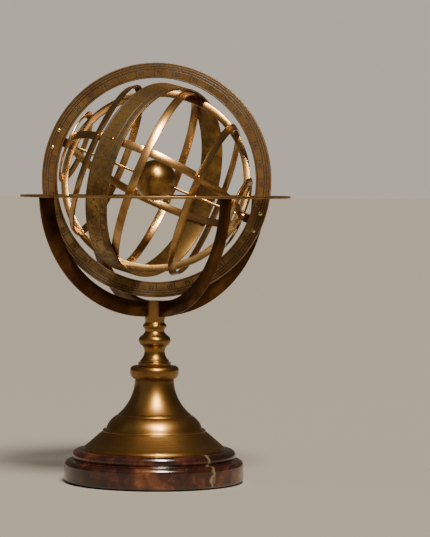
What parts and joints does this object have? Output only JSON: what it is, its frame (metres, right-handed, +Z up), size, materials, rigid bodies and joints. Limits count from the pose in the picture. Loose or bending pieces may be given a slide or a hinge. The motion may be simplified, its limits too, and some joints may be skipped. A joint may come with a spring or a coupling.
{
  "type": "armillary sphere",
  "caption": "Brass armillary sphere with a cage of rings turning on a polar rod inside a meridian ring and a flat horizon ring, on a baluster stem and round stone base.",
  "frame": {"origin": "centre of the underside of the felt pad, on the axis of the stand", "axes": "+Z up along the stand's axis; the meridian ring stands in the XZ plane and the north pole of the cage leans towards -X at rest"},
  "size_m": [0.273, 0.273, 0.4241],
  "materials": {
    "felt": "matt felt",
    "polished_stone": "polished reddish brown marble",
    "steel": "zinc plated",
    "stand_brass": "antiqued and lacquered turned brass",
    "ring_brass": "antiqued engraved brass",
    "cage_brass": "antiqued polished brass strip"
  },
  "bodies": {
    "stand": {"felt_pad": "felt", "stone_base": "polished_stone", "base_washer": "steel", "base_nut": "steel", "tie_rod": "steel", "bell_foot": "stand_brass", "collar_ring": "stand_brass", "baluster_stem": "stand_brass", "cradle_boss": "stand_brass", "cradle_half_ring_a": "stand_brass", "cradle_half_ring_b": "stand_brass", "horizon_ring": "ring_brass", "horizon_screws": "stand_brass"},
    "meridian": {"meridian_ring": "ring_brass", "pole_bracket_north": "ring_brass", "pole_bracket_south": "ring_brass", "bracket_rivets_north": "ring_brass", "bracket_rivets_south": "ring_brass"},
    "cage": {"solstice_colure": "cage_brass", "equinox_colure": "cage_brass", "equator_ring": "cage_brass", "tropic_ring_north": "cage_brass", "tropic_ring_south": "cage_brass", "polar_ring_north": "cage_brass", "polar_ring_south": "cage_brass", "zodiac_band": "cage_brass", "polar_rod": "cage_brass", "earth_ball": "cage_brass", "pole_collar_north": "cage_brass", "pole_collar_south": "cage_brass", "crossing_rivets": "cage_brass"}
  },
  "joints": [
    {"name": "meridian_tilt", "type": "hinge", "parent": "stand", "child": "meridian", "pos_m": [0, 0, 0.3055], "axis": [0, 1, 0], "range_deg": [-4, 68.3]},
    {"name": "cage_spin", "type": "hinge", "parent": "meridian", "child": "cage", "pos_m": [0, 0, 0.3055], "axis": [-0.9293, 0, 0.3693], "continuous": true}
  ]
}
